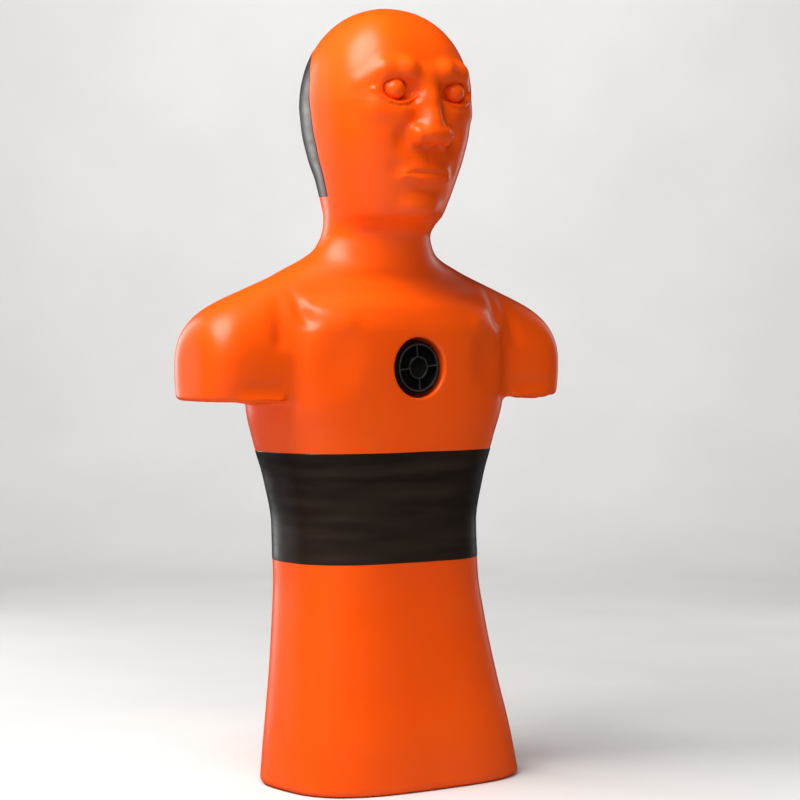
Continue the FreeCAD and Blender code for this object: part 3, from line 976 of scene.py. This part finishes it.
# ---------------------------------------------------------------- materials
class Nodes:
    """Short calls for building one material's nodes."""

    def __init__(self, name):
        self.material = bpy.data.materials.new(name)
        self.material.use_nodes = True
        self.tree = self.material.node_tree
        self.shader = self.tree.nodes["Principled BSDF"]
        self.place = self.tree.nodes.new("ShaderNodeTexCoord").outputs["Object"]

    def set(self, **values):
        for name, value in values.items():
            self.shader.inputs[name.replace("_", " ")].default_value = value

    def noise(self, scale, detail=2.0, stretch=(1, 1, 1)):
        mapping = self.tree.nodes.new("ShaderNodeMapping")
        mapping.inputs["Scale"].default_value = stretch
        self.tree.links.new(self.place, mapping.inputs["Vector"])
        node = self.tree.nodes.new("ShaderNodeTexNoise")
        node.inputs["Scale"].default_value = scale
        node.inputs["Detail"].default_value = detail
        self.tree.links.new(mapping.outputs["Vector"], node.inputs["Vector"])
        return node.outputs["Fac"]

    def ramp(self, source, low, high, start=0.3, end=0.7):
        """Colours or greys between two values of the source."""
        node = self.tree.nodes.new("ShaderNodeValToRGB")
        node.color_ramp.elements[0].position = start
        node.color_ramp.elements[1].position = end
        for element, value in zip(node.color_ramp.elements, (low, high)):
            element.color = (*value, 1) if isinstance(value, tuple) else (value, value, value, 1)
        self.tree.links.new(source, node.inputs["Fac"])
        return node.outputs["Color"]

    def to(self, name, source):
        self.tree.links.new(source, self.shader.inputs[name])

    def bump(self, height, distance, strength=1.0, under=None):
        node = self.tree.nodes.new("ShaderNodeBump")
        node.inputs["Strength"].default_value = strength
        node.inputs["Distance"].default_value = distance
        self.tree.links.new(height, node.inputs["Height"])
        if under is not None:
            self.tree.links.new(under, node.inputs["Normal"])
        return node.outputs["Normal"]


def orange_plastic():
    """Moulded plastic: deep orange, softly glossy, with a faint moulded ripple."""
    nodes = Nodes("orange_plastic")
    clouds = nodes.noise(5.0, 3.0)
    nodes.to("Base Color", nodes.ramp(clouds, (0.92, 0.080, 0.0005), (0.97, 0.098, 0.0008)))
    nodes.to("Roughness", nodes.ramp(nodes.noise(22.0, 4.0), 0.32, 0.40))
    ripple = nodes.bump(nodes.noise(55.0, 1.0), 0.00025, 0.20)
    nodes.to("Normal", nodes.bump(nodes.noise(900.0, 2.0), 0.00002, 0.2, ripple))
    nodes.set(Specular_IOR_Level=0.32)
    return nodes.material


def black_coating():
    """Satin black coating, brushed round the body, a little brown and streaky."""
    nodes = Nodes("black_coating")
    streaks = nodes.noise(26.0, 4.0, (0.25, 0.25, 3.0))
    nodes.to("Base Color", nodes.ramp(streaks, (0.015, 0.0095, 0.0070), (0.032, 0.0205, 0.0145)))
    nodes.to("Roughness", nodes.ramp(nodes.noise(60.0, 4.0, (0.4, 0.4, 2.0)), 0.30, 0.44))
    nodes.to("Normal", nodes.bump(nodes.noise(180.0, 3.0, (0.4, 0.4, 2.0)), 0.00008, 0.30))
    nodes.set(Specular_IOR_Level=0.40)
    return nodes.material


def black_plastic(name, grey, roughness):
    """Moulded black plastic, a little mottled, with a fine grain."""
    nodes = Nodes(name)
    nodes.to("Base Color", nodes.ramp(nodes.noise(90.0, 4.0), (grey, grey, grey),
                                      (grey * 1.9, grey * 1.75, grey * 1.6)))
    nodes.to("Roughness", nodes.ramp(nodes.noise(240.0, 3.0), roughness, roughness + 0.14))
    nodes.to("Normal", nodes.bump(nodes.noise(1600.0, 3.0), 0.00005, 0.35))
    return nodes.material


def seal_rubber():
    nodes = Nodes("seal_rubber")
    nodes.to("Base Color", nodes.ramp(nodes.noise(140.0, 3.0), (0.010, 0.010, 0.011), (0.026, 0.026, 0.027)))
    nodes.to("Roughness", nodes.ramp(nodes.noise(300.0, 2.0), 0.55, 0.75))
    nodes.to("Normal", nodes.bump(nodes.noise(1200.0, 2.0), 0.00004, 0.3))
    return nodes.material


def paint(obj, material):
    obj.data.materials.clear()
    obj.data.materials.append(material)


def paint_node(name, material):
    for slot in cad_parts[name].material_slots:
        slot.material = material


# ---------------------------------------------------------------- stage
def camera():
    data = bpy.data.cameras.new("camera")
    data.sensor_width = SENSOR
    data.lens = LENS
    obj = bpy.data.objects.new("camera", data)
    bpy.context.scene.collection.objects.link(obj)
    obj.location = (math.sin(AZIMUTH) * DISTANCE, -math.cos(AZIMUTH) * DISTANCE, EYE_LEVEL)
    obj.rotation_euler = (Vector(AIM) - obj.location).to_track_quat("-Z", "Y").to_euler()
    bpy.context.scene.camera = obj


def area_light(name, place, target, size, power, colour=(1.0, 1.0, 1.0), glossy=True):
    data = bpy.data.lights.new(name, "AREA")
    data.shape = "ELLIPSE"
    data.size, data.size_y = size
    data.energy = power
    data.color = colour
    obj = bpy.data.objects.new(name, data)
    obj.location = place
    obj.rotation_euler = (Vector(target) - Vector(place)).to_track_quat("-Z", "Y").to_euler()
    obj.visible_glossy = glossy
    bpy.context.scene.collection.objects.link(obj)


def beside(ahead, left, up):
    """A point given from the camera's side: metres beyond the manikin, to its left in the picture, and up."""
    forward = Vector((-math.sin(AZIMUTH), math.cos(AZIMUTH), 0.0))
    return forward * ahead + Vector((-forward.y, forward.x, 0.0)) * left + Vector((0.0, 0.0, up))


def lights():
    """A big softbox overhead to the left, a weaker high fill in front, soft strips behind on both sides,
    and one light turned to the backdrop."""
    middle = (0.0, 0.0, 0.55)
    area_light("overhead", beside(-0.75, 0.90, 2.30), (0.0, 0.0, 0.72), (2.0, 1.7), 92, (1.0, 0.97, 0.93))
    area_light("front_fill", beside(-2.4, -0.3, 1.9), middle, (1.8, 1.2), 15, glossy=False)
    area_light("strip_left", beside(1.35, 1.55, 0.8), middle, (0.35, 1.8), 14)
    area_light("strip_right", beside(1.6, -1.35, 0.9), middle, (0.25, 1.6), 4)
    area_light("backdrop", beside(2.0, 0.0, 2.4), beside(4.0, 0.0, 1.3), (4.0, 0.5), 46, glossy=False)
    world = bpy.data.worlds.new("world")
    world.use_nodes = True
    background = world.node_tree.nodes["Background"]
    background.inputs["Color"].default_value = (0.90, 0.92, 0.95, 1)
    background.inputs["Strength"].default_value = 0.12
    world.cycles_visibility.glossy = False
    bpy.context.scene.world = world
    bpy.context.scene.view_settings.view_transform = "Standard"


def floor():
    """A plain pale floor, curved up at the back into a wall."""
    reach, back, bend, height = 8.0, 4.0, 1.5, 7.0
    profile = [(-reach, 0.0)] + [(back - bend + bend * math.sin(t), bend - bend * math.cos(t))
                                 for t in np.linspace(0.0, math.pi / 2, 17)] + [(back, height)]
    turn = Matrix.Rotation(AZIMUTH, 4, "Z")
    bm = bmesh.new()
    drop = 0.0004              # the floor lies this far under the base
    rows = []
    for y, z in profile:
        rows.append([bm.verts.new(turn @ Vector((side * reach, y, z - drop))) for side in (-1, 1)])
    for low, high in zip(rows, rows[1:]):
        bm.faces.new((low[0], low[1], high[1], high[0]))
    mesh = bpy.data.meshes.new("floor")
    bm.to_mesh(mesh)
    bm.free()
    obj = add_object("floor", mesh)
    for polygon in mesh.polygons:
        polygon.use_smooth = True
    nodes = Nodes("floor")
    nodes.to("Base Color", nodes.ramp(nodes.noise(3.0, 4.0), (0.73, 0.73, 0.73), (0.77, 0.77, 0.77)))
    nodes.set(Roughness=0.6)
    mesh.materials.append(nodes.material)
    obj.visible_glossy = False


camera()
paint(body_shell(), orange_plastic())
coating = black_coating()
paint(waist_band(), coating)
paint(head_patch(), coating)
paint(port_bush(), black_plastic("bush_plastic", 0.010, 0.45))
chest_plug()
paint_node("chest_plug_o_ring", seal_rubber())
lights()
floor()
